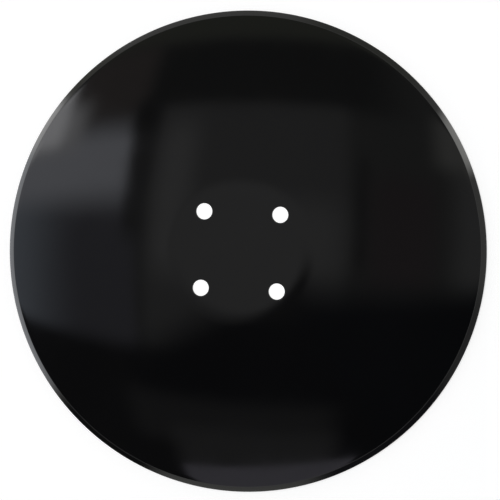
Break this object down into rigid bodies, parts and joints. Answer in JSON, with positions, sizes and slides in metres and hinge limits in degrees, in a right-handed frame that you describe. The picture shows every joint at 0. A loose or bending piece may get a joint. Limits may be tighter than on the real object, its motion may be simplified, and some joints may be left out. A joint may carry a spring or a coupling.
{
  "type": "harrow disc blade",
  "caption": "Dished steel disc blade for a disc harrow, with a flat bolted hub seat and a ground outside bevel, in gloss black enamel.",
  "frame": {"origin": "centre of the rim plane, on the surface that the cutting edge rests on", "axes": "+Z along the blade's axis, from the rim towards the hub seat on the convex side; X and Y are square to the bolt pattern, whose holes stand at 45 degrees to them"},
  "size_m": [0.51, 0.51, 0.0526],
  "materials": {
    "black_enamel": "gloss black enamel over steel plate"
  },
  "bodies": {
    "root": {"disc_blade": "black_enamel"}
  },
  "joints": []
}
